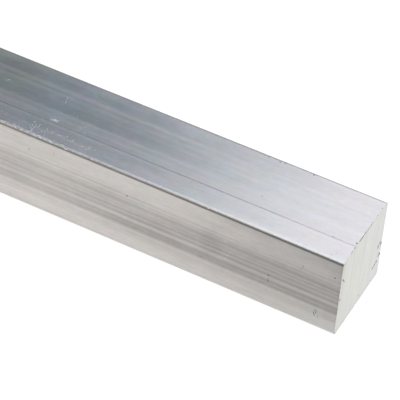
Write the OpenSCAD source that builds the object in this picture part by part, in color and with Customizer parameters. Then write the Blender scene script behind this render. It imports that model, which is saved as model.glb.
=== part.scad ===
// Solid aluminium square bar, drawn through a die and sawn square at both ends.
// It lies on its underside with its length along X and its scored face upwards.
// The front face is at -Y, and the origin is at the middle of the underside.

/* [Bar] */
// Side of the square section
side = 25.4; // [12.7:0.1:50.8]
// Length from one sawn end to the other
bar_length = 304.8; // [100:0.1:1000]
// Radius that the die leaves along the four long edges
edge_radius = 1.0; // [0.2:0.05:2]

/* [Die line] */
// Distance from the front face to the middle of the score along the top face
score_inset = 6.9; // [2:0.1:10]
// Width of the score where it opens in the top face
score_width = 0.3; // [0.1:0.05:0.5]
// Depth of the score at its middle
score_depth = 0.1; // [0.03:0.01:0.2]

/* [Hidden] */

$fn = 48;
half_side = side / 2;
// The score is a round-bottomed groove: an arc of this radius has that width and depth.
score_radius = (score_width * score_width / 4 + score_depth * score_depth) / (2 * score_depth);
score_centre_y = side - score_depth + score_radius;
score_centre_x = score_inset - half_side;

// Square outline standing on the X axis, with its four corners rounded.
module rounded_square(size, radius) {
    flat = size - 2 * radius;
    translate([-flat / 2, 0]) square([flat, size]);
    translate([-size / 2, radius]) square([size, flat]);
    for (x = [-flat / 2, flat / 2], y = [radius, size - radius])
        translate([x, y]) circle(r = radius);
}

// Section left by the die: the front face is at the left, and the score is in the top.
module bar_section() {
    difference() {
        rounded_square(side, edge_radius);
        translate([score_centre_x, score_centre_y]) circle(r = score_radius);
    }
}

// The section drawn out along X and cut off square at both ends.
module square_bar() {
    color([0.78, 0.79, 0.80])
        rotate([90, 0, 90])
            linear_extrude(height = bar_length, center = true)
                bar_section();
}

square_bar();
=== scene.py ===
import math
import random

import bmesh
import bpy
from mathutils import Matrix, Quaternion, Vector, noise


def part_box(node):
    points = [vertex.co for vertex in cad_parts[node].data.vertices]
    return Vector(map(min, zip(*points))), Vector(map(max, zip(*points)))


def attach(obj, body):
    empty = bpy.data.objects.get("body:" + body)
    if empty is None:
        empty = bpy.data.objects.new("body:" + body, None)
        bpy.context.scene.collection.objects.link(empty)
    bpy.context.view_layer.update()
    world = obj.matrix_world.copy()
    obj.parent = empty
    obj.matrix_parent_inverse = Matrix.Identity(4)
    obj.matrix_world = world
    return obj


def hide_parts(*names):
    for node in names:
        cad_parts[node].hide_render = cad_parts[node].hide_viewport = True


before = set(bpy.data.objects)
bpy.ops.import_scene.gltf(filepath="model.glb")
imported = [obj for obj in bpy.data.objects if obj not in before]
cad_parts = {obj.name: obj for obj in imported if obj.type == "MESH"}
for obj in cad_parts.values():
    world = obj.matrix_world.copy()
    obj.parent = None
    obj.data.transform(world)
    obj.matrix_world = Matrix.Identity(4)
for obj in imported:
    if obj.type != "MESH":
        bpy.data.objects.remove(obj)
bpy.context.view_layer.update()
mm = 0.001
touching = 1e-7      # metres within which a point lies on a face
black = (0, 0, 0, 1)
white = (1, 1, 1, 1)
scene = bpy.context.scene


# Shader helpers

bandSoft = (0.3, 0.5)     # the soft sides of a band: share of its width, and the most in mm
noiseRoughness = 0.55


class Wire:
    # One shader value. Sums and products of it add Math nodes to its tree.
    def __init__(self, tree, socket):
        self.tree = tree
        self.socket = socket

    def math(self, operation, *others, clamp=False):
        made = self.tree.nodes.new("ShaderNodeMath")
        made.operation = operation
        made.use_clamp = clamp
        for place, value in enumerate(others):
            plug(self.tree, value, made.inputs[place])
        return Wire(self.tree, made.outputs[0])

    def __add__(self, other):
        return self.math("ADD", self, other)

    def __radd__(self, other):
        return self.math("ADD", other, self)

    def __sub__(self, other):
        return self.math("SUBTRACT", self, other)

    def __rsub__(self, other):
        return self.math("SUBTRACT", other, self)

    def __mul__(self, other):
        return self.math("MULTIPLY", self, other)

    def __rmul__(self, other):
        return self.math("MULTIPLY", other, self)

    def __truediv__(self, other):
        return self.math("DIVIDE", self, other)

    def __rtruediv__(self, other):
        return self.math("DIVIDE", other, self)

    def __abs__(self):
        return self.math("ABSOLUTE", self)

    def clamped(self):
        return self.math("ADD", self, 0.0, clamp=True)

    def also(self, name):
        # Another output of the same node
        return Wire(self.tree, self.socket.node.outputs[name])


def plug(tree, value, socket):
    # A wire is linked to the socket, and anything else is set on it.
    if isinstance(value, Wire):
        tree.links.new(value.socket, socket)
    else:
        socket.default_value = value


class Shade:
    # A node tree being filled: node() adds any node, with its settings first and its sockets after.
    def __init__(self, tree):
        self.tree = tree
        tree.nodes.clear()

    def node(self, kind, settings=None, sockets=None, out=0):
        made = self.tree.nodes.new(kind)
        for name, value in (settings or {}).items():
            setattr(made, name, value)
        for name, value in (sockets or {}).items():
            plug(self.tree, value, made.inputs[name])
        return Wire(self.tree, made.outputs[out]) if made.outputs else made

    def parts(self, vector):
        # The three parts of a vector
        split = self.node("ShaderNodeSeparateXYZ", None, {"Vector": vector})
        return split, split.also("Y"), split.also("Z")

    def smooth(self, value, low, high, lowOut=0.0, highOut=1.0):
        # A soft step from lowOut to highOut while the value goes from low to high
        return self.node("ShaderNodeMapRange", {"interpolation_type": "SMOOTHSTEP"}, {
            "Value": value, "From Min": low, "From Max": high, "To Min": lowOut, "To Max": highOut})

    def band(self, value, middle, width):
        # 1 within a band of this width, with soft sides
        share, most = bandSoft
        soft = min(share * width, most)
        return self.smooth(abs(value - middle), width / 2 - soft, width / 2 + soft, 1.0, 0.0)

    def oval(self, along, across, middleAlong, middleAcross, length, width):
        # 1 in the middle of an oval, going softly to 0 at its rim
        x = (along - middleAlong) / (length / 2)
        y = (across - middleAcross) / (width / 2)
        return self.smooth(x * x + y * y, 1.0, 0.0)

    def blend(self, factor, first, second):
        # A mix of two colours
        return self.node("ShaderNodeMix", {"data_type": "RGBA"}, {
            "Factor": factor, 6: first, 7: second}, out=2)

    def marks(self, coords, sizes, detail):
        # Noise around zero, whose marks have these sizes in mm along X, Y and Z
        spread = self.node("ShaderNodeVectorMath", {"operation": "MULTIPLY"}, {
            0: coords, 1: [1 / (size * mm) for size in sizes]})
        return self.node("ShaderNodeTexNoise", None, {
            "Vector": spread, "Scale": 1.0, "Detail": detail, "Roughness": noiseRoughness}) - 0.5

    def metal(self, colour, roughness):
        # Bare metal, as the whole of the material
        made = self.node("ShaderNodeBsdfPrincipled", None, {
            "Base Color": colour, "Metallic": 1.0, "Roughness": roughness})
        self.node("ShaderNodeOutputMaterial", None, {"Surface": made})


def total(wires):
    return sum(wires[1:], wires[0])


def newMaterial(name):
    made = bpy.data.materials.new(name)
    made.use_nodes = True
    return made, Shade(made.node_tree)


def addObject(name, data):
    made = bpy.data.objects.new(name, data)
    scene.collection.objects.link(made)
    return made


def addAimed(name, data, place, aim, turn):
    # A camera or lamp that looks from place to aim, turned by these degrees in its own plane
    made = addObject(name, data)
    look = Vector(aim) - Vector(place)
    made.location = place
    made.rotation_mode = "QUATERNION"
    made.rotation_quaternion = look.to_track_quat("-Z", "Y") @ Quaternion((0, 0, 1), math.radians(turn))
    return made


# Camera

view = {
    "place": (0.2821, -0.3711, 0.4082),    # metres, from the middle of the bar's underside
    "aim": (0.1011, 0.0126, 0.0),          # point on the floor behind the picture's middle
    "roll": 4.32,                          # degrees, anticlockwise
    "lens": 202.3,
    "sensor": 36.0,
    "clip": (0.01, 100),
}


def addCamera():
    data = bpy.data.cameras.new("camera")
    data.lens = view["lens"]
    data.sensor_width = view["sensor"]
    data.clip_start, data.clip_end = view["clip"]
    scene.camera = addAimed("camera", data, view["place"], view["aim"], view["roll"])


# Studio: floor, world and lamps. Lengths are in metres, and a place in the room is given as a
# part of the direction towards it, from -1 to 1.

studio = {
    "floorSize": 12.0,
    "floorColour": (0.84, 0.84, 0.84, 1),
    "floorShade": (0.21, 0.21, 0.21, 1),   # the part of the floor's white that takes a shadow
    "floorGlow": (0.90, 0.90, 0.90, 1),    # and the part that takes none
    "sheetShine": (0.788, 0.744, 0.697, 1),  # what the metal sees of the floor in front of the bar
    "endShine": (0.812, 0.812, 0.765, 1),  # and beyond its sawn end
    "endSpan": (0.1505, 0.1525),
    "tableShine": (0.18, 0.05),            # and farther out in front, from left to right
    "tableSpan": (0.02, 0.12),
    "sheetEdge": 0.111,                    # how far in front of the bar's middle the sheet ends
    "sheetSlant": 0.520,                   # how much nearer it comes for each metre along the bar
    "sheetBlur": 0.006,
    "shadeStart": (0.085, 0.130),          # the sheet lies in shade from here along the bar
    "shadeFront": (-0.010, -0.0185),       # and from here towards the camera
    "shadeDepth": 0.28,                    # the part of its shine that it loses there
    "upperBack": (0.236, 0.284, 0.335, 1),
    "upperFront": (0.37, 0.37, 0.37, 1),
    "lowerFront": (0.35, 0.11),            # from left to right
    "lowerBack": (0.40, 0.78),
    "darkTint": (1.0, 0.95, 0.89, 1),      # of the table and the lower room in front
    "lowerSpan": (-0.42, -0.22),           # sideways, where the lower room changes
    "backSpan": (-0.3, 0.3),               # from front to back
    "lowerRoom": (0.28, 0.42),             # height at which the lower room ends
}


def addFloor():
    material, shade = newMaterial("pale_floor")
    along, across = shade.parts(shade.node("ShaderNodeTexCoord", out="Object"))[:2]
    edge = along * studio["sheetSlant"] - studio["sheetEdge"]
    onSheet = shade.smooth(across - edge, -studio["sheetBlur"], studio["sheetBlur"])
    shaded = shade.smooth(along, *studio["shadeStart"]) * shade.smooth(across, *studio["shadeFront"])
    table = shade.blend(shade.smooth(along, *studio["tableSpan"], *studio["tableShine"]),
                        black, studio["darkTint"])
    sheet = shade.blend(shade.smooth(along, *studio["endSpan"]),
                        studio["sheetShine"], studio["endShine"])
    shine = shade.blend(onSheet * (1 - shaded * studio["shadeDepth"]), table, sheet)
    # The camera and the metal see the sheet, and other light meets a plain floor
    camera = shade.node("ShaderNodeLightPath", out="Is Camera Ray")
    glow = shade.node("ShaderNodeEmission", None, {
        "Color": shade.blend(camera, shine, studio["floorGlow"]), "Strength": 1.0})
    lit = shade.node("ShaderNodeBsdfDiffuse", None, {"Color": studio["floorColour"]})
    faint = shade.node("ShaderNodeBsdfDiffuse", None, {"Color": studio["floorShade"]})
    seen = shade.node("ShaderNodeAddShader", None, {0: faint, 1: glow})
    mixed = shade.node("ShaderNodeMixShader", None, {
        0: camera + camera.also("Is Glossy Ray"), 1: lit, 2: seen})
    shade.node("ShaderNodeOutputMaterial", None, {"Surface": mixed})
    bm = bmesh.new()
    bmesh.ops.create_grid(bm, x_segments=1, y_segments=1, size=studio["floorSize"] / 2)
    mesh = bpy.data.meshes.new("floor")
    bm.to_mesh(mesh)
    bm.free()
    mesh.materials.append(material)
    floor = addObject("floor", mesh)


def addWorld():
    world = bpy.data.worlds.new("room")
    scene.world = world
    world.use_nodes = True
    shade = Shade(world.node_tree)
    along, across, up = shade.parts(shade.node("ShaderNodeTexCoord", out="Generated"))
    front = shade.blend(shade.smooth(along, *studio["lowerSpan"], *studio["lowerFront"]),
                        black, studio["darkTint"])
    back = shade.smooth(along, *studio["lowerSpan"], *studio["lowerBack"])
    onBack = shade.smooth(across, *studio["backSpan"])
    room = shade.blend(shade.smooth(up, *studio["lowerRoom"]), shade.blend(onBack, front, back),
                       shade.blend(onBack, studio["upperFront"], studio["upperBack"]))
    seen = shade.node("ShaderNodeLightPath", out="Is Camera Ray")
    light = shade.node("ShaderNodeBackground", None, {
        "Color": shade.blend(seen, room, white), "Strength": 1.0})
    shade.node("ShaderNodeOutputWorld", None, {"Surface": light})


lamps = {
    # name: middle, point it faces, length and width, turn in its plane, colour, radiance
    "overheadPanel": {"place": (0.424, -0.25, 1.0), "aim": (0.424, -0.25, 0), "size": (1.4, 3.7),
                      "turn": 2.0, "colour": (1.0, 0.97, 0.985), "radiance": 1.11},
}


def addLamps():
    for name, lamp in lamps.items():
        data = bpy.data.lights.new(name, "AREA")
        data.shape = "RECTANGLE"
        data.size, data.size_y = lamp["size"]
        data.color = lamp["colour"]
        data.energy = lamp["radiance"] * math.pi * data.size * data.size_y   # watts for that radiance
        made = addAimed(name, data, lamp["place"], lamp["aim"], lamp["turn"])
        made.visible_camera = False


# Bar. Its lengths are in mm. In its finish, four numbers are a soft step: where it starts and
# where it ends, and its values there. A pair is such a step from 0 to 1.

bar = {
    "edgeRadius": 1.0,
    "edgeSegments": 12,
    "endBreak": 0.06,            # the sawn edges are only just broken
    "endRim": 0.16,
    "fineLength": 120.0,         # the end that shows is sliced finely
    "fineSlices": 300,
    "plainSlices": 46,
    "slicedOver": 10,            # edges longer than this are sliced
    "sharpAngle": 30,            # degrees
    "flatFacing": 0.9999,        # how squarely a flat face points its way
    "endFacing": 0.9,            # and a face of the sawn ends
    # Cuts for the relief: inside the round edges, beside a line, and in it as shares of its width
    "flatRim": 0.12,
    "guard": 0.03,
    "frontSteps": (-0.5, -0.25, 0, 0.25, 0.5),
    "topSteps": (-0.5, 0, 0.5),
    "scoreSteps": (-0.5, -0.4, -0.22, 0, 0.22, 0.4, 0.5),
    # The die lines waver in depth along the bar
    "lineDepth": (0.7, 0.5),     # mean share of a line's depth, and change
    "frontWaves": (0, 14),       # first seed, and length of a wave
    "topWaves": (30, 18),
    "waverRow": (3.7, 0.3),      # where the seeds lie in the noise
    "score": (6.9, 0.3, 0.1),    # from the front face, width, depth
    "scoreDepth": (0.85, 0.3, 20, 3),    # mean share and change, seed and length of a wave
    "scoreFaint": (66.5, 2.5, 0.5),      # it nearly runs out here: middle, half length, share lost
    "scoreLeast": 0.15,
    # Wear of the long edges
    "edgeWear": 0.010,
    "wearWaves": ((40, 0.9, 0.9), (41, 6, 0.8)),   # seed, length and share of each
    "wearGrowth": 4,             # how fast it grows from the flat faces
    "knocks": (72, 14, 6),       # the front corner's knocks start here, grow over this length, this much
    "knockNoise": (0.8, 2.2, 5.1),       # their size, how they change round the edge, and seed
    # Saw marks on the ends
    "sawLines": 110,             # cuts across an end, and up it
    "sawRows": 14,
    "sawShift": 0.013,           # keeps them off the other cuts, as a share of a step
    "sawDepth": 0.018,
    "sawMean": 0.5,
    "sawWaves": ((0.42, 16, 31, 0.6), (2.6, 40, 17, 0.4)),   # length across and up, seed, share
    "breakNoise": (0.5, 9.1, 1.2, 0.2),  # of the ragged edge: size, seed, change, least share
    # Die lines on the front face: height, width, the share of its shine that is lost, depth
    "frontLines": (
        (12.20, 10.4, 0.100, 0),
        (18.30, 0.5, 0.125, 0.020),
        (17.70, 0.6, 0.020, 0),
        (16.90, 0.8, 0.030, 0.010),
        (15.60, 1.2, 0.130, 0.022),
        (14.15, 0.8, 0.085, 0.018),
        (12.90, 1.0, 0.125, 0.020),
        (11.45, 0.9, 0.140, 0.022),
        (10.38, 0.6, -0.055, 0),
        (8.65, 2.5, 0.120, 0.012),
        (9.35, 0.6, 0.020, 0.012),
        (8.00, 0.6, 0.035, 0.012),
        (6.80, 0.8, -0.035, 0),
        (5.90, 0.8, 0.025, 0.008),
        (1.80, 5.0, -0.060, 0),
        (1.20, 1.6, 0.030, 0),
    ),
    # Lines on the top face: place from the middle, width, what it adds to the shine, depth
    "topLines": (
        (10.90, 1.2, 0.030, 0),
        (8.60, 2.6, -0.040, 0),
        (6.35, 1.1, 0.115, 0),
        (5.20, 0.6, -0.060, 0.006),
        (4.30, 0.9, 0.030, 0),
        (3.30, 0.9, -0.065, 0),
        (2.35, 0.7, -0.040, 0.004),
        (1.10, 0.6, -0.020, 0),
        (0.35, 3.0, -0.095, 0),
        (-1.95, 0.6, 0.085, 0.005),
        (-3.60, 4.0, 0.045, 0),
        (-3.90, 0.6, 0.040, 0),
        (-6.55, 0.8, 0.085, 0),
        (-10.60, 3.2, 0.040, 0),
        # This row is no die line but painted shade: it darkens the start of the round front edge, toning
        # down its reflection
        (-11.90, 0.5, -0.130, 0),
    ),
    # Soft patches: distance from the sawn end, place on the face, length, width, share of shine added
    "topPatches": (
        (31, 8.5, 46, 11, -0.050),
        (80, 9.5, 12, 6, 0.085),
        (53, 9.8, 14, 5, 0.075),
        (60, -4.5, 56, 8, -0.035),
        (103, 7.5, 18, 8, -0.110),
        (66, 3.5, 18, 8, -0.040),
        (88, 4.0, 12, 7, 0.040),
        (35, -1.2, 16, 7, -0.035),
        (13, -9.0, 28, 8, 0.020),
        # This patch is painted shade along the start of the round front edge, toning down its reflection
        (48, -11.85, 56, 0.9, -0.110),
        (36, -11.1, 60, 1.4, 0.035),
    ),
    "frontPatches": (
        (53, 9.0, 22, 12, -0.070),
        (33, 4.2, 20, 6, 0.060),
        (20, 6.6, 24, 6, 0.050),
        (62, 18.6, 24, 6, -0.050),
        (42, 14.0, 26, 4, -0.045),
        (80, 22.2, 9, 5, -0.045),
        (86, 3.5, 14, 6, 0.040),
        (27, 20.6, 10, 4, 0.040),
        (62, 5.6, 14, 6, -0.050),
        (92, 11.5, 12, 10, -0.040),
        (74, 18.2, 12, 4, -0.030),
        # These two rows are painted shade: they darken the front just under its round top edge near the
        # sawn end, standing in for a darker reflection there
        (24, 24.4, 36, 1.7, -0.100),
        (27, 23.3, 18, 1.8, -0.035),
        (25, 18.4, 72, 0.8, 0.070),
        (22, 4.6, 18, 4, 0.030),
        (0.5, 23.4, 10, 3.5, 0.050),
        (1.5, 5.2, 6, 8, -0.040),
        (37, 20.3, 14, 3, -0.035),
        (60, 6.4, 34, 1.6, -0.040),
        (15, 8.5, 40, 0.8, 0.045),
        (10, 7.7, 26, 0.7, -0.035),
        (37, 10.0, 12, 1.0, -0.040),
        (37, 18.2, 14, 1.6, -0.030),
        (35.5, 14.2, 8, 11, -0.060),
        (28, 8.3, 16, 1.8, 0.045),
        (30.3, 19.05, 6, 0.8, 0.070),
    ),
    # Noise in the mill finish: size along the bar and across it, detail
    "millNoise": {
        "hair": (25, 0.3, 3.0),
        "line": (45, 0.8, 2.0),
        "broad": (200, 3.5, 1.0),
        "cloud": (5, 2.4, 2.0),
        "grain": (1.6, 0.8, 2.0),
        "hue": (6, 3.0, 2.0),
        "cast": (5, 2.6, 2.0),
        "fleck": (0.7, 0.4, 3.0),
        "rub": (0.8, 0.5, 3.0),
    },
    "faceRim": (0.30, 0.12),     # the front and the top begin this far inside the round edges
    "hiddenRim": (0.5, 0.2),     # and the back and the underside here
    # What each noise adds to the shine and to the roughness of a face
    "frontShine": {"hair": 0.20, "grain": 0.16, "cloud": 0.12, "line": 0.12},
    "topShine": {"hair": 0.12, "cloud": 0.14},
    "hiddenShine": {"hair": 0.20, "line": 0.18, "grain": 0.08},
    "topRough": {"line": 0.03, "broad": 0.06, "cloud": 0.03},
    "hiddenRough": {"line": 0.05, "broad": 0.04},
    "frontRough": {"line": 0.03},
    "lineRough": 0.10,           # and what the front's lines add
    "frontVary": 1.2,            # how much the front's lines come and go
    "frontFade": (60, 85, 1.15, 0.85),   # they fade away from the sawn end
    "edgeShade": (0.9, 0.2, 0.0, 0.055),  # the front darkens towards its sawn edge
    "topFade": (28, 74, 0.14, 1.0),      # the top's lines fade towards the sawn end
    "topVary": 0.10,                     # finer ones among them
    "topGrain": (20, 85, 0.12, 0.22),    # its grain grows away from the sawn end
    # The score is a dark hairline: its width, the shine that it loses, and how much that varies
    "scoreWidth": 0.28,
    "scoreShade": (4, 34, 0.21, 0.39),
    "scoreVary": 1.2,
    "scoreRed": (95, 60, 0.34, 0.10),    # the share of red that it loses
    "scoreBlue": 0.15,                   # and of blue that it gains
    # Hue: shares of red, green and blue that change over the faces
    "hueFade": (15, 70, 0.5, 1.0),
    "hueFront": 0.5,             # the share of the change that the front loses
    "hueHidden": 0.6,            # and the hidden faces
    "hueRed": 0.24,
    "hueGreen": 0.06,
    "hueBlue": 0.24,
    "lineRed": 0.3,              # the top's bright lines are a little redder
    "farRed": (90, 102, 0.0, 0.030),     # the top is warmer far from the sawn end
    "farBlue": (90, 102, 0.0, 0.095),
    "farBlueSide": (-6, -1),             # but its blue less so towards the front
    "nearRed": (30, 6, 0.0, 0.028),      # and it is redder near the sawn end
    "nearRedSide": (-11.9, -10.6),       # but not along the front corner
    "frontCool": (4.5, 1.0, 0.0, 0.012),  # the front is cooler from this height down
    "coolPatches": (
        (5, 4, 11, 9, 0.020),
    ),
    "millTone": 0.62,
    "millRough": 0.235,
    # Scuffs on the top by the front corner, and along that corner, where the bar rubbed on others
    "wornSpan": (68, 90),
    "wornSide": (-7, -10),
    "fleckStep": (0.15, 0.22),
    "fleckShare": 0.7,
    "cornerSpan": (70, 88),
    "cornerSide": (1.2, 0.7),    # from the front face
    "cornerTop": (0.38, 0.20),   # from the top
    "rubStep": (-0.08, 0.12),
    "scuffTone": 0.10,
    "scuffRough": 0.22,
    # Sawn ends: noise with its size across and up and its detail, and what it adds
    "sawnNoise": {
        "fine": (0.30, 7, 2.0),
        "cut": (0.75, 14, 1.0),
        "wide": (3.0, 30, 1.0),
        "cast": (4, 6, 1.0),
    },
    "sawnDeep": 1000,            # their noise doesn't change along the bar
    "sawnShine": {"fine": 0.28, "cut": 0.26, "wide": 0.12},
    "sawnGloss": {"fine": 0.10, "cut": 0.10},
    "sawnRough": 0.33,
    "sawnColour": (0.70, 0.70, 0.69),
    "sawnCast": (0.04, 0.12),    # shares of red that the cast takes and of blue that it adds
    "endShade": (5.0, 0.3, 0.0, 0.085),  # the end darkens towards the front
    "endShadeFoot": (3, 11, 0.3, 1.0),   # mostly from this height up
    "endBright": (-4, 9, 0.0, 0.018),    # and is a little brighter and bluer towards the back
    "endBlue": (-4, 9, 0.0, 0.030),
    # Colour and roughness of the marks. The nick's dark colour is painted shade in the hollows of the
    # dark marks, and the scratch is bright metal.
    "nick_painted_shade": ((0.12, 0.12, 0.12, 1), 0.55),
    "scratch": ((0.80, 0.80, 0.80, 1), 0.50),
    "markUneven": (0.35, 3.4, 5.3),      # how ragged they are, how finely, and the seed's step
    "markReach": 0.7,                    # the room that each takes, in its own lengths
    # Marks cut into the metal: face, two places on it, length, width, depth, turn in degrees.
    # The first place is the distance from the sawn end, or on that end the place across it. The
    # second is the place across the top, or the height. On the front edge it isn't used.
    # The dark marks are real hollows, coloured with the nick's painted shade
    "darkMarks": (
        ("top", 27.60, -2.10, 0.27, 0.26, 0.06, 0),
        ("top", 3.20, -10.20, 0.22, 0.19, 0.06, 20),
        ("top", 4.00, -11.40, 0.24, 0.18, 0.06, 0),
        ("top", 6.30, -5.70, 0.40, 0.27, 0.10, 10),
        ("top", 33.64, 11.50, 0.20, 0.26, 0.05, 0),
        ("top", 32.63, 11.50, 0.24, 0.32, 0.05, 0),
        ("top", 29.28, 11.30, 0.30, 0.42, 0.08, 0),
        ("top", 28.00, 11.60, 0.25, 0.32, 0.06, 0),
        ("top", 22.80, 11.70, 0.30, 0.18, 0.05, 0),
        ("top", 20.93, 11.80, 0.30, 0.30, 0.08, 0),
        ("top", 19.98, 11.50, 0.36, 0.44, 0.09, 0),
        ("top", 13.49, 11.80, 0.30, 0.17, 0.05, 0),
        ("top", 0.15, 12.30, 0.40, 0.60, 0.16, 0),
        # These three marks are shallow cuts whose dark colour paints the shadow of the burr along the
        # top's sawn edge
        ("top", 0.05, -2.50, 0.26, 3.40, 0.10, 0),
        ("top", 0.05, -0.30, 0.20, 2.00, 0.08, 0),
        ("top", 0.05, 1.60, 0.16, 1.60, 0.08, 0),
        ("top", 0.36, -4.76, 0.40, 0.62, 0.06, 0),
        ("top", 0.12, -6.42, 0.30, 0.46, 0.08, 0),
        ("top", 0.06, -8.10, 0.14, 2.20, 0.06, 0),
        ("top", 0.06, 2.90, 0.30, 0.60, 0.10, 0),
        ("top", 0.06, 3.84, 0.29, 0.46, 0.10, 0),
        ("top", 0.09, 6.81, 0.22, 0.32, 0.07, 0),
        ("top", 0.21, 9.57, 0.25, 0.33, 0.07, 0),
        ("end", 12.10, 11.20, 1.20, 0.62, 0.14, -75),
        ("end", 12.50, 10.00, 0.75, 0.52, 0.16, -40),
        ("end", 11.20, 12.20, 0.95, 0.46, 0.10, 35),
        ("end", 10.35, 11.50, 1.30, 0.60, 0.11, 60),
        ("end", 12.30, 7.71, 1.30, 1.40, 0.40, 0),
        ("end", 11.65, 7.10, 0.75, 0.50, 0.12, 42),
        ("end", 10.60, 5.95, 0.90, 0.60, 0.12, -10),
        ("end", 9.55, 5.70, 1.10, 0.54, 0.11, 25),
        ("end", 8.55, 5.35, 1.10, 0.58, 0.11, 11),
        ("end", -11.83, 19.13, 0.54, 0.52, 0.11, 0),
        ("end", -11.15, 18.15, 1.60, 0.34, 0.07, -54),
        ("end", -12.05, 12.27, 0.60, 0.65, 0.14, 0),
        ("end", 1.01, 2.16, 0.50, 0.32, 0.08, 0),
        ("end", 8.10, 1.20, 0.40, 0.30, 0.08, 0),
        ("front", 1.80, 19.60, 0.38, 0.38, 0.12, 0),
        ("front", 19.20, 11.20, 0.27, 0.46, 0.08, 0),
        ("front", 19.20, 9.50, 0.14, 1.70, 0.05, 2),
        ("front", 59.60, 18.10, 0.40, 0.40, 0.14, 0),
        ("front", 88.20, 20.15, 0.14, 0.80, 0.04, 4),
        ("front", 80.90, 22.10, 0.09, 0.90, 0.02, 0),
        ("front", 68.30, 5.50, 0.07, 0.90, 0.02, 6),
        ("front", 10.30, 19.10, 0.10, 0.80, 0.02, 4),
        ("front", 10.80, 18.00, 0.60, 0.10, 0.02, 0),
        ("front", 50.90, 15.40, 0.26, 0.26, 0.06, 0),
        ("front", 45.70, 8.50, 0.24, 0.24, 0.05, 0),
        ("front", 38.00, 7.90, 0.24, 0.24, 0.05, 0),
        ("front", 6.12, 4.95, 0.16, 1.40, 0.06, 4),
        ("front", 5.55, 5.50, 0.16, 1.40, 0.06, -6),
        ("front", 5.90, 6.15, 0.40, 0.24, 0.06, 0),
        ("front", 5.80, 4.30, 0.40, 0.24, 0.06, 0),
        ("front", 5.05, 4.10, 0.12, 0.90, 0.04, 0),
    ),
    "brightMarks": (
        ("top", 86.20, -4.95, 0.90, 0.18, 0.03, 19),
        ("top", 85.43, -4.72, 0.90, 0.28, 0.04, 18),
        ("top", 85.57, -5.12, 1.00, 0.15, 0.02, 20),
        ("top", 84.75, -4.76, 1.20, 0.23, 0.03, 13),
        ("top", 84.70, -5.22, 1.00, 0.16, 0.02, 6),
        ("top", 103.50, 2.20, 1.00, 0.12, 0.02, 48),
        ("top", 86.50, 2.65, 0.09, 1.30, 0.02, 18),
        ("top", 86.95, 4.00, 0.06, 1.10, 0.02, 15),
        ("top", 77.40, -3.00, 0.08, 0.60, 0.02, 0),
        ("top", 89.34, -8.09, 0.30, 0.28, 0.02, 0),
        ("top", 89.28, -9.22, 0.24, 0.24, 0.02, 0),
        ("top", 88.49, -8.73, 0.24, 0.24, 0.02, 0),
        ("top", 88.37, -9.83, 0.42, 0.34, 0.02, 0),
        ("top", 88.46, -10.58, 0.40, 0.20, 0.02, 60),
        ("top", 88.45, -11.50, 0.80, 0.20, 0.02, 78),
        ("top", 87.60, -8.79, 1.50, 0.17, 0.02, 88),
        ("top", 85.20, -8.91, 1.00, 0.15, 0.02, -86),
        ("top", 83.48, -9.07, 1.60, 0.12, 0.02, 43),
        ("top", 81.24, -9.08, 2.20, 0.14, 0.03, 8),
        ("top", 79.45, -8.65, 0.28, 0.44, 0.02, 0),
        ("top", 74.60, -9.70, 0.70, 0.16, 0.03, 30),
        ("top", 28.60, 11.30, 0.70, 0.20, 0.04, 0),
        ("top", 0.36, -4.76, 0.20, 0.34, 0.12, 0),
        ("frontEdge", 77.60, 0, 1.00, 0.45, 0.05, 0),
        ("frontEdge", 70.10, 0, 0.60, 0.20, 0.04, 0),
        ("frontEdge", 37.10, 0, 0.65, 0.38, 0.07, 0),
        ("front", 60.85, 18.00, 0.60, 0.25, 0.04, 10),
        ("front", 28.95, 14.88, 1.00, 0.17, 0.03, 25),
        ("front", 30.07, 13.41, 1.30, 0.15, 0.03, 45),
        ("front", 30.68, 12.20, 1.70, 0.12, 0.03, 62),
        ("front", 31.33, 10.60, 0.80, 0.18, 0.03, 50),
        ("front", 30.10, 17.70, 1.10, 0.34, 0.03, 12),
        ("front", 31.50, 16.70, 1.50, 0.13, 0.03, 35),
        ("front", 10.20, 17.30, 0.70, 0.12, 0.03, 0),
        ("front", 9.30, 18.55, 1.20, 0.12, 0.02, 0),
    ),
    # Small bright specks where the bar rubbed on others: distance from the sawn end, place
    # across the top, how far they spread along and across, how many
    "specks": (
        (89.3, -8.6, 0.6, 0.8, 3),
        (88.5, -10.8, 0.6, 0.5, 4),
        (85.4, -9.6, 0.9, 0.6, 3),
        (84.2, -9.0, 0.6, 0.7, 2),
        (79.8, -8.6, 0.6, 0.6, 2),
        (78.3, -9.5, 0.4, 0.3, 3),
        (77.5, -9.2, 0.3, 0.2, 2),
        (77.2, -4.6, 1.3, 0.9, 7),
        (71.5, -9.3, 1.6, 0.8, 6),
        (81.4, -0.9, 0.6, 0.6, 3),
        (92.5, -11.5, 2.6, 0.3, 9),
        (86.2, -11.5, 2.6, 0.3, 8),
        (80.5, -11.7, 2.0, 0.2, 4),
    ),
    "speckSize": (0.13, 0.30, 0.02),     # across, the share that varies, depth
    "speckShape": (0.9, 2.2),            # length for its width, from least to most
    "speckDepth": (0.7, 1.3),
    "speckTurn": (-40, 40),              # degrees
    "speckSeed": 11,
}


def streaks(shade, across, lines):
    # What a face's lines add to its shine, or take from it
    return total([shade.band(across, place, width) * share for place, width, share, depth in lines])


def patches(shade, back, across, ovals):
    # What a face's soft patches add to its shine
    return total([shade.oval(back, across, *oval) * share for *oval, share in ovals])


def weighed(noises, shares):
    # The sum of these noises, each by its share
    return total([noises[name] * share for name, share in shares.items()])


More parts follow.
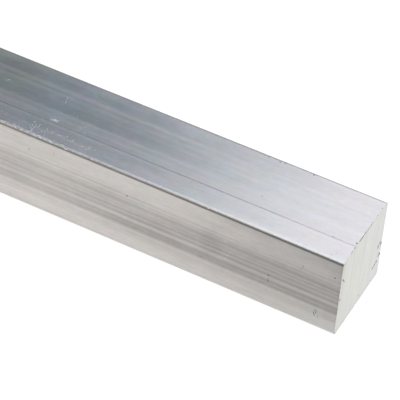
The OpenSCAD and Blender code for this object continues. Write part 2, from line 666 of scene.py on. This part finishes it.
def faceWires(shade, coords, low, high):
    # Where a point lies, in mm, and how much it belongs to each face
    along, across, up = shade.parts(coords)
    at = {
        "back": (high.x - along) / mm,   # from the sawn end
        "across": across / mm,           # from the bar's middle line
        "height": (up - low.z) / mm,
        "fromFront": (across - low.y) / mm,
        "fromTop": (high.z - up) / mm,
    }
    at["front"] = shade.smooth(at["fromFront"], *bar["faceRim"])
    at["top"] = shade.smooth(at["fromTop"], *bar["faceRim"])
    hidden = (shade.smooth((high.y - across) / mm, *bar["hiddenRim"])
              + shade.smooth(at["height"], *bar["hiddenRim"]))
    at["hidden"] = hidden.clamped() * (1 - at["front"])
    return at


def frontFinish(shade, at, noises):
    # The front's shine, and what its streaks take away
    streaked = streaks(shade, at["height"], bar["frontLines"])
    varied = streaked * (noises["line"] * bar["frontVary"] + 1.0)
    lost = varied * shade.smooth(at["back"], *bar["frontFade"])
    soft = patches(shade, at["back"], at["height"], bar["frontPatches"])
    shine = 1.0 - lost + weighed(noises, bar["frontShine"]) + soft
    return shine - shade.smooth(at["back"], *bar["edgeShade"]), lost


def topFinish(shade, at, noises):
    # The top's shine, what its streaks add, and the shade in the score
    streaked = streaks(shade, at["across"], bar["topLines"]) + noises["line"] * bar["topVary"]
    added = streaked * shade.smooth(at["back"], *bar["topFade"])
    grained = noises["grain"] * shade.smooth(at["back"], *bar["topGrain"])
    soft = patches(shade, at["back"], at["across"], bar["topPatches"])
    inset = bar["score"][0]
    shaded = (shade.band(at["fromFront"], inset, bar["scoreWidth"])
              * shade.smooth(at["back"], *bar["scoreShade"]))
    inScore = shaded * (noises["cloud"] * bar["scoreVary"] + 1.0)
    shine = added + 1.0 + weighed(noises, bar["topShine"]) + grained + soft
    return shine * (1 - inScore), added, inScore


def scuffs(shade, at, noises):
    # Flecks on the top by the front corner, and the rubbed corner itself
    worn = (shade.smooth(at["back"], *bar["wornSpan"])
            * shade.smooth(at["across"], *bar["wornSide"]) * at["top"])
    corner = (shade.smooth(at["fromFront"], *bar["cornerSide"])
              * shade.smooth(at["fromTop"], *bar["cornerTop"])
              * shade.smooth(at["back"], *bar["cornerSpan"]))
    fleck = shade.smooth(noises["fleck"], *bar["fleckStep"]) * worn
    rub = shade.smooth(noises["rub"], *bar["rubStep"]) * corner
    return (fleck * bar["fleckShare"] + rub).clamped()


def millColour(shade, at, noises, base, added, inScore):
    # Faint changes of hue in the mill finish
    hued = ((1 - at["front"] * bar["hueFront"]) * (1 - at["hidden"] * bar["hueHidden"])
            * shade.smooth(at["back"], *bar["hueFade"]))
    hue = noises["hue"] * hued
    cast = noises["cast"] * hued
    cool = (shade.smooth(at["height"], *bar["frontCool"])
            + patches(shade, at["back"], at["height"], bar["coolPatches"])) * at["front"]
    warm = shade.smooth(at["back"], *bar["farRed"]) + (
        shade.smooth(at["back"], *bar["nearRed"]) * shade.smooth(at["across"], *bar["nearRedSide"]))
    lessBlue = (shade.smooth(at["back"], *bar["farBlue"])
                * shade.smooth(at["across"], *bar["farBlueSide"]))
    lessRed = inScore * shade.smooth(at["back"], *bar["scoreRed"])
    topRed = (added * bar["lineRed"] - lessRed + warm) * at["top"]
    topBlue = (inScore * bar["scoreBlue"] - lessBlue) * at["top"]
    return shade.node("ShaderNodeCombineColor", None, {
        0: base * (1 + hue * bar["hueRed"] + topRed - cool),
        1: base * (1 - hue * bar["hueGreen"]),
        2: base * (1 + cast * bar["hueBlue"] + topBlue + cool)})


def millMaterial(low, high):
    material, shade = newMaterial("mill_finish")
    coords = shade.node("ShaderNodeTexCoord", out="Object")
    noises = {name: shade.marks(coords, (long, wide, wide), detail)
              for name, (long, wide, detail) in bar["millNoise"].items()}
    at = faceWires(shade, coords, low, high)
    frontShine, lost = frontFinish(shade, at, noises)
    topShine, added, inScore = topFinish(shade, at, noises)
    hiddenShine = 1.0 + weighed(noises, bar["hiddenShine"])
    shown = topShine + (frontShine - topShine) * at["front"]
    shine = shown + (hiddenShine - shown) * at["hidden"]
    scuff = scuffs(shade, at, noises)
    base = shine * bar["millTone"] + scuff * bar["scuffTone"]
    topRough = weighed(noises, bar["topRough"]) * at["top"]
    frontRough = (lost * bar["lineRough"] + weighed(noises, bar["frontRough"])) * at["front"]
    hiddenRough = weighed(noises, bar["hiddenRough"]) * at["hidden"]
    shade.metal(millColour(shade, at, noises, base, added, inScore),
                topRough + hiddenRough + frontRough + bar["millRough"] + scuff * bar["scuffRough"])
    return material


def sawnMaterial(low):
    material, shade = newMaterial("sawn_end")
    coords = shade.node("ShaderNodeTexCoord", out="Object")
    across, up = shade.parts(coords)[1:]
    side, height = across / mm, (up - low.z) / mm
    noises = {name: shade.marks(coords, (bar["sawnDeep"], wide, tall), detail)
              for name, (wide, tall, detail) in bar["sawnNoise"].items()}
    shaded = (shade.smooth((across - low.y) / mm, *bar["endShade"])
              * shade.smooth(height, *bar["endShadeFoot"]))
    tone = 1.0 + weighed(noises, bar["sawnShine"]) - shaded + shade.smooth(side, *bar["endBright"])
    red, green, blue = bar["sawnColour"]
    lessRed, moreBlue = bar["sawnCast"]
    colour = shade.node("ShaderNodeCombineColor", None, {
        0: tone * (red - noises["cast"] * lessRed),
        1: tone * green,
        2: tone * (noises["cast"] * moreBlue + blue + shade.smooth(side, *bar["endBlue"]))})
    shade.metal(colour, weighed(noises, bar["sawnGloss"]) + bar["sawnRough"])
    return material


def markMaterial(name):
    material, shade = newMaterial(name)
    shade.metal(*bar[name])
    return material


def cutAcross(bm, facing, place, normal):
    # Cuts a line through the flat faces that point this way, and through nothing else
    faces = [f for f in bm.faces if f.normal.dot(facing) > bar["flatFacing"]]
    edges = {e for f in faces for e in f.edges}
    verts = {v for f in faces for v in f.verts}
    bmesh.ops.bisect_plane(bm, geom=[*faces, *edges, *verts], dist=touching,
                           plane_co=place, plane_no=normal)


def lineCuts(middle, width, steps):
    # Where a line is cut. A guard on each side keeps the flat metal beside it shaded as flat.
    guard = width / 2 + bar["guard"]
    cuts = {(middle + step * width) * mm for step in steps}
    return cuts | {(middle - guard) * mm, (middle + guard) * mm}


def cutLines(bm, low, high):
    # The lines along the faces on which the die lines lie
    reach = (bar["edgeRadius"] + bar["flatRim"]) * mm
    heights = {low.z + reach, high.z - reach}
    for height, width, share, depth in bar["frontLines"]:
        if depth:
            heights |= lineCuts(height, width, bar["frontSteps"])
    for height in sorted(heights):
        cutAcross(bm, Vector((0, -1, 0)), (0, low.y, height), (0, 0, 1))
    inset, width, depth = bar["score"]
    places = {low.y + reach, high.y - reach}
    places |= {low.y + place for place in lineCuts(inset, width, bar["scoreSteps"])}
    for middle, width, share, depth in bar["topLines"]:
        if depth:
            places |= lineCuts(middle, width, bar["topSteps"])
    for place in sorted(places):
        cutAcross(bm, Vector((0, 0, 1)), (0, place, high.z), (0, 1, 0))


def cutEnds(bm, low, high):
    # A fine grid on the sawn ends for the saw's marks
    rim = bar["endRim"] * mm
    across, up = Vector((0, 1, 0)), Vector((0, 0, 1))
    for facing in (Vector((1, 0, 0)), Vector((-1, 0, 0))):
        for count, start, end, normal in ((bar["sawLines"], low.y, high.y, across),
                                          (bar["sawRows"], low.z, high.z, up)):
            steps = [start + (end - start) * (step + bar["sawShift"]) / count
                     for step in range(1, count)]
            for place in [start + rim, *steps, end - rim]:
                cutAcross(bm, facing, normal * place, normal)


def sliceAlong(bm, high):
    # Slices the long faces, finely near the end that shows
    split = high.x - bar["fineLength"] * mm
    bmesh.ops.bisect_plane(bm, geom=[*bm.verts, *bm.edges, *bm.faces], dist=touching,
                           plane_co=(split, 0, 0), plane_no=(1, 0, 0))
    near, far = [], []
    for edge in bm.edges:
        start, end = edge.verts[0].co.x, edge.verts[1].co.x
        if abs(start - end) > bar["slicedOver"] * mm:
            (near if (start + end) / 2 > split else far).append(edge)
    bmesh.ops.subdivide_edges(bm, edges=near, cuts=bar["fineSlices"] - 1, use_grid_fill=True)
    bmesh.ops.subdivide_edges(bm, edges=far, cuts=bar["plainSlices"] - 1, use_grid_fill=True)


def groove(offset, width, depth):
    # Depth of a round-bottomed line at this offset from its middle, in metres
    return depth * mm * max(0.0, 1 - (2 * offset / (width * mm)) ** 2)


def waver(x, seed, length):
    # Smooth noise along the bar, with waves of about this length
    step, level = bar["waverRow"]
    return noise.noise(Vector((x / (length * mm), seed * step, level)))


def lineDepths(across, x, lines, waves):
    # How deep each of a face's die lines is at a point
    mean, change = bar["lineDepth"]
    seed, length = waves
    for number, (middle, width, share, depth) in enumerate(lines):
        if depth:
            yield groove(across - middle * mm, width, depth) * (
                mean + change * waver(x, seed + number, length))


def scoreDepth(co, low, high):
    inset, width, depth = bar["score"]
    mean, change, seed, length = bar["scoreDepth"]
    faint, half, lost = bar["scoreFaint"]
    back = (high.x - co.x) / mm
    kept = mean + change * waver(co.x, seed, length) - lost * max(0.0, 1 - abs(back - faint) / half)
    return groove(co.y - low.y - inset * mm, width, depth) * max(bar["scoreLeast"], min(1.0, kept))


def edgeWear(co, out, high):
    # How a round edge is worn, where out points from the middle of its arc to the point
    wear = 1
    for seed, length, share in bar["wearWaves"]:
        wear += share * waver(co.x, seed, length)
    if out.y < 0 < out.z:
        # The front corner is knocked about where it was held
        start, over, most = bar["knocks"]
        size, turning, seed = bar["knockNoise"]
        angle = math.atan2(out.z, -out.y)
        knocked = min(1.0, max(0.0, ((high.x - co.x) / mm - start) / over))
        bumps = noise.noise(Vector((co.x / (size * mm), angle * turning, seed)))
        wear += knocked * most * max(0.0, bumps) * math.sin(2 * angle)
    grown = bar["wearGrowth"] * min(abs(out.y), abs(out.z)) / (bar["edgeRadius"] * mm)
    return out.normalized() * max(0.0, wear) * bar["edgeWear"] * mm * min(1.0, grown)


def sawDepth(co, end):
    depth = bar["sawMean"]
    for wide, tall, seed, share in bar["sawWaves"]:
        depth += share * noise.noise(Vector((co.y / (wide * mm), co.z / (tall * mm), end * seed)))
    return bar["sawDepth"] * mm * max(0.0, depth)


def breakDepth(co):
    # The ragged edge that the saw left
    size, seed, change, least = bar["breakNoise"]
    ragged = noise.noise(Vector((co.y / (size * mm), co.z / (size * mm), seed)))
    return bar["endBreak"] * mm * max(least, 1 + change * ragged)


def roughen(co, low, high):
    # Where a point of the plain bar lies once its die lines, wear and saw marks are in.
    # Nothing moves outwards.
    moved = co.copy()
    radius = bar["edgeRadius"] * mm
    if co.y < low.y + touching:
        for depth in lineDepths(co.z, co.x, bar["frontLines"], bar["frontWaves"]):
            moved.y += depth
    if co.z > high.z - touching:
        moved.z -= scoreDepth(co, low, high)
        for depth in lineDepths(co.y, co.x, bar["topLines"], bar["topWaves"]):
            moved.z -= depth
    middle = Vector((0, min(max(co.y, low.y + radius), high.y - radius),
                     min(max(co.z, low.z + radius), high.z - radius)))
    out = Vector((0, co.y, co.z)) - middle
    if abs(out.y) > touching and abs(out.z) > touching:
        moved -= edgeWear(co, out, high)
    for end, inward in ((high.x, -1), (low.x, 1)):
        if abs(co.x - end) < touching:
            moved.x += inward * sawDepth(co, end)
            if out.length > radius - touching:
                moved.x += inward * breakDepth(co)
    return moved


def spot(low, high, face, first, second):
    # Where a mark lies, and the turn that lays its length, width and depth on that face
    if face == "top":
        return Vector((high.x - first, second, high.z)), Matrix.Identity(3)
    if face == "front":
        return Vector((high.x - first, low.y, second)), Matrix.Rotation(math.radians(90), 3, "X")
    if face == "end":
        return Vector((high.x, first, second)), Matrix(((0, 0, 1), (1, 0, 0), (0, 1, 0)))
    inset = bar["edgeRadius"] * mm * (1 - math.sqrt(0.5))   # the front edge, half way round
    return (Vector((high.x - first, low.y + inset, high.z - inset)),
            Matrix.Rotation(math.radians(45), 3, "X"))


def scatterSpecks():
    # The small specks, as marks on the top face
    chance = random.Random(bar["speckSeed"])
    size, vary, depth = bar["speckSize"]
    for back, across, along, spread, count in bar["specks"]:
        for number in range(count):
            long = size * (1 + chance.uniform(-vary, 2 * vary))
            yield ("top", back + chance.uniform(-along, along), across + chance.uniform(-spread, spread),
                   long, long * chance.uniform(*bar["speckShape"]),
                   depth * chance.uniform(*bar["speckDepth"]), chance.uniform(*bar["speckTurn"]))


def sortMarks(low, high):
    # Places every mark, and puts marks that overlap into different sets, because a cutter may
    # not overlap itself
    sets = []
    for marks, slot in ((bar["darkMarks"], nickShadeSlot), (bar["brightMarks"], scratchSlot),
                        (scatterSpecks(), scratchSlot)):
        for face, first, second, length, width, depth, turn in marks:
            place, facing = spot(low, high, face, first * mm, second * mm)
            turned = facing @ Matrix.Rotation(math.radians(turn), 3, "Z")
            reach = bar["markReach"] * max(length, width) * mm
            mark = (slot, place, turned, (length, width, 2 * depth), reach)
            for group in sets:
                if all((place - other[1]).length > reach + other[4] for other in group):
                    group.append(mark)
                    break
            else:
                sets.append([mark])
    return sets


def addCutter(marks, materials):
    # One object with the shapes of these marks, which is then cut out of the bar
    uneven, fineness, seedStep = bar["markUneven"]
    bm = bmesh.new()
    for seed, (slot, place, turned, sizes, reach) in enumerate(marks):
        verts = bmesh.ops.create_icosphere(bm, subdivisions=2, radius=0.5)["verts"]
        for vert in verts:
            vert.co *= 1 + uneven * noise.noise(vert.co * fineness + Vector((seed * seedStep, slot, 0)))
        for face in {f for v in verts for f in v.link_faces}:
            face.material_index = slot
            face.smooth = True
        bmesh.ops.scale(bm, vec=Vector(sizes) * mm, verts=verts)
        bmesh.ops.transform(bm, matrix=Matrix.Translation(place) @ turned.to_4x4(), verts=verts)
    mesh = bpy.data.meshes.new("marks")
    bm.to_mesh(mesh)
    bm.free()
    for material in materials:
        mesh.materials.append(material)
    return addObject("marks", mesh)


def cutMarks(made, cutters):
    # Cuts the marks out of the bar, and leaves it as a plain mesh
    for cutter in cutters:
        cut = made.modifiers.new("marks", "BOOLEAN")
        cut.operation = "DIFFERENCE"
        cut.solver = "MANIFOLD"
        cut.object = cutter
    bpy.context.view_layer.update()
    marked = bpy.data.meshes.new_from_object(made.evaluated_get(bpy.context.evaluated_depsgraph_get()))
    made.modifiers.clear()
    made.data = marked
    for cutter in cutters:
        bpy.data.objects.remove(cutter)


def rimSharp(mesh):
    # The rim of each mark is sharp, so that its hollow doesn't shade the flat metal around it
    bm = bmesh.new()
    bm.from_mesh(mesh)
    for edge in bm.edges:
        if len({face.material_index for face in edge.link_faces}) > 1:
            edge.smooth = False
    bm.to_mesh(mesh)
    bm.free()


def drawnBar(low, high):
    # A box with round long edges, cut wherever its relief will go
    size = high - low
    bm = bmesh.new()
    bmesh.ops.create_cube(bm, size=1)
    bmesh.ops.scale(bm, vec=size, verts=bm.verts)
    bmesh.ops.translate(bm, vec=(low + high) / 2, verts=bm.verts)
    longEdges = [e for e in bm.edges if abs(e.verts[0].co.x - e.verts[1].co.x) > size.x / 2]
    bmesh.ops.bevel(bm, geom=longEdges, offset=bar["edgeRadius"] * mm, offset_type="OFFSET",
                    affect="EDGES", segments=bar["edgeSegments"], profile=0.5, material=-1)
    bm.normal_update()
    cutLines(bm, low, high)
    sliceAlong(bm, high)
    bm.normal_update()
    cutEnds(bm, low, high)
    return bm


# The bar's materials, in the order of their slots
# The nick slot's dark colour is painted shade in the marks' hollows
millSlot, sawnSlot, nickShadeSlot, scratchSlot = range(4)


def addBar():
    low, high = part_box("square_bar")
    bm = drawnBar(low, high)
    print("bar cut", len(bm.faces))
    for face in bm.faces:
        face.smooth = True
        face.material_index = sawnSlot if abs(face.normal.x) > bar["endFacing"] else millSlot
    for vert in bm.verts:
        vert.co = roughen(vert.co, low, high)
    mesh = bpy.data.meshes.new("square_bar_dressed")
    bm.to_mesh(mesh)
    bm.free()
    # The nick material's dark colour is painted shade in the hollows of the marks
    materials = (millMaterial(low, high), sawnMaterial(low),
                 markMaterial("nick_painted_shade"), markMaterial("scratch"))
    for material in materials:
        mesh.materials.append(material)
    made = addObject("bar_drawn_and_sawn", mesh)
    cutMarks(made, [addCutter(marks, materials) for marks in sortMarks(low, high)])
    made.data.set_sharp_from_angle(angle=math.radians(bar["sharpAngle"]))
    rimSharp(made.data)
    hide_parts("square_bar")
    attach(made, "root")
    print("bar made", len(made.data.polygons))


scene.view_settings.view_transform = "Standard"
addCamera()
print("camera in place")
addFloor()
addWorld()
addLamps()
print("studio lit")
addBar()
